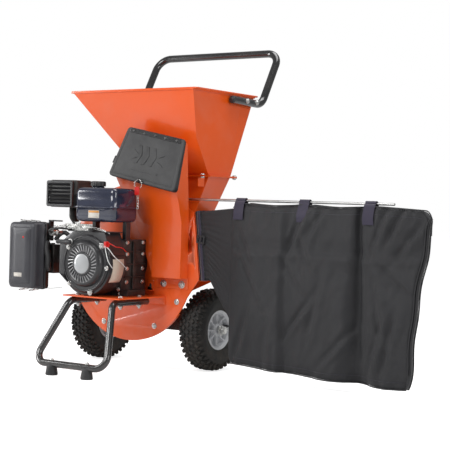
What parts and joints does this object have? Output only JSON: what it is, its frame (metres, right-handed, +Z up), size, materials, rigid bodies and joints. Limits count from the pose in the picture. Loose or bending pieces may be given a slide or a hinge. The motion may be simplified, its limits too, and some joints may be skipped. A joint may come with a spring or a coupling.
{
  "type": "wood chipper",
  "caption": "Petrol wood chipper and shredder on two wheels and a front stand, with hopper, covered side chute, swinging hammers and a hanging collection bag.",
  "frame": {"origin": "on the floor under the middle of the bounding box", "axes": "+Z up, engine and stand feet at -Y, wheels and handle at +Y, collection bag at +X, crankshaft along Y"},
  "size_m": [1.353, 0.7793, 1.0653],
  "materials": {
    "orange_paint": "gloss powder coat",
    "black_paint": "gloss black powder coat",
    "engine_black": "satin black enamel",
    "tank_blue": "gloss dark navy enamel",
    "zinc_steel": "bright zinc",
    "rotor_steel": "ground steel",
    "cast_metal": "as cast",
    "rubber": "matt",
    "tyre": "matt",
    "rim_silver": "satin silver",
    "black_plastic": "satin",
    "red_plastic": "gloss",
    "yellow_plastic": "gloss",
    "foam": "open foam",
    "nylon": "woven"
  },
  "bodies": {
    "frame": {"housing_front_plate": "orange_paint", "housing_rear_plate": "orange_paint", "housing_scroll": "orange_paint", "outlet_collar": "orange_paint", "discharge_screen": "zinc_steel", "engine_platform": "orange_paint", "lower_hopper": "orange_paint", "upper_hopper": "orange_paint", "hopper_bolts": "zinc_steel", "feed_chute": "orange_paint", "chute_bolts": "zinc_steel", "handle_tube": "black_paint", "handle_bolts": "zinc_steel", "stand_tube": "black_paint", "stand_feet": "rubber", "stand_bolts": "zinc_steel", "axle": "zinc_steel", "axle_beam": "black_paint", "axle_nuts": "zinc_steel", "crankcase": "cast_metal", "engine_cylinder": "cast_metal", "valve_cover": "zinc_steel", "fan_cover": "engine_black", "recoil_cover": "engine_black", "starter_rope": "nylon", "fuel_tank": "tank_blue", "muffler": "engine_black", "muffler_guard": "engine_black", "air_cleaner_base": "black_plastic", "air_cleaner_cover": "black_plastic", "air_filter": "foam", "carburettor": "cast_metal", "breather_hose": "rubber", "spark_plug": "zinc_steel", "ignition_lead": "rubber", "bag_rod": "zinc_steel", "bag": "nylon", "bag_straps": "nylon"},
    "rotor": {"crankshaft": "zinc_steel", "flywheel": "cast_metal", "rotor_disc": "rotor_steel", "chipper_knives": "rotor_steel"},
    "hammer_a": {"hammer_1": "rotor_steel"},
    "hammer_b": {"hammer_2": "rotor_steel"},
    "hammer_c": {"hammer_3": "rotor_steel"},
    "hammer_d": {"hammer_4": "rotor_steel"},
    "wheel_left": {"tyre_left": "tyre", "rim_left": "rim_silver"},
    "wheel_right": {"tyre_right": "tyre", "rim_right": "rim_silver"},
    "cover": {"chute_cover": "rubber"},
    "tag": {"tag_ring": "zinc_steel", "red_tag": "red_plastic"},
    "starter": {"starter_grip": "black_plastic"},
    "cap": {"fuel_cap": "black_plastic"},
    "throttle": {"throttle_lever": "black_plastic"},
    "choke": {"choke_lever": "black_plastic"},
    "fuel_valve": {"fuel_lever": "red_plastic"},
    "switch": {"engine_switch": "red_plastic"},
    "oil_stick": {"dipstick": "yellow_plastic"}
  },
  "joints": [
    {"name": "rotor_spin", "type": "hinge", "parent": "frame", "child": "rotor", "pos_m": [-0.3775, 0.00425, 0.34], "axis": [0, 1, 0], "continuous": true},
    {"name": "hammer_swing_1", "type": "hinge", "parent": "rotor", "child": "hammer_a", "pos_m": [-0.2983, 0.01925, 0.4192], "axis": [0, 1, 0], "continuous": true},
    {"name": "hammer_swing_2", "type": "hinge", "parent": "rotor", "child": "hammer_b", "pos_m": [-0.4567, 0.01925, 0.4192], "axis": [0, 1, 0], "continuous": true},
    {"name": "hammer_swing_3", "type": "hinge", "parent": "rotor", "child": "hammer_c", "pos_m": [-0.4567, 0.01925, 0.2608], "axis": [0, 1, 0], "continuous": true},
    {"name": "hammer_swing_4", "type": "hinge", "parent": "rotor", "child": "hammer_d", "pos_m": [-0.2983, 0.01925, 0.2608], "axis": [0, 1, 0], "continuous": true},
    {"name": "wheel_left_spin", "type": "hinge", "parent": "frame", "child": "wheel_left", "pos_m": [-0.6055, 0.09125, 0.132], "axis": [1, 0, 0], "continuous": true},
    {"name": "wheel_right_spin", "type": "hinge", "parent": "frame", "child": "wheel_right", "pos_m": [-0.1495, 0.09125, 0.132], "axis": [1, 0, 0], "continuous": true},
    {"name": "cover_hinge", "type": "hinge", "parent": "frame", "child": "cover", "pos_m": [-0.23166, -0.11108, 0.75164], "axis": [-0.9816, 0.0413, 0.1863], "range_deg": [0, 100]},
    {"name": "tag_swing", "type": "hinge", "parent": "cover", "child": "tag", "pos_m": [-0.26843, -0.1574, 0.60221], "axis": [0, 1, 0], "range_deg": [-60, 0]},
    {"name": "starter_pull", "type": "slide", "parent": "frame", "child": "starter", "axis": [0, -1, 0], "range_m": [0, 0.45], "stiffness_N_per_m": 20},
    {"name": "fuel_cap_turn", "type": "hinge", "parent": "frame", "child": "cap", "pos_m": [-0.39486, -0.19975, 0.581], "axis": [0, 0, 1], "range_deg": [0, 90]},
    {"name": "throttle_swing", "type": "hinge", "parent": "frame", "child": "throttle", "pos_m": [-0.3575, -0.22075, 0.438], "axis": [0, 0, 1], "range_deg": [-35, 35]},
    {"name": "choke_swing", "type": "hinge", "parent": "frame", "child": "choke", "pos_m": [-0.5655, -0.21475, 0.392], "axis": [0, 0, 1], "range_deg": [-40, 0]},
    {"name": "fuel_valve_turn", "type": "hinge", "parent": "frame", "child": "fuel_valve", "pos_m": [-0.5915, -0.20875, 0.346], "axis": [1, 0, 0], "range_deg": [-90, 0]},
    {"name": "switch_turn", "type": "hinge", "parent": "frame", "child": "switch", "pos_m": [-0.2935, -0.26675, 0.402], "axis": [0, 1, 0], "range_deg": [0, 60]},
    {"name": "dipstick_turn", "type": "hinge", "parent": "frame", "child": "oil_stick", "pos_m": [-0.4495, -0.15875, 0.282], "axis": [1, 0, 0], "range_deg": [0, 180]}
  ]
}
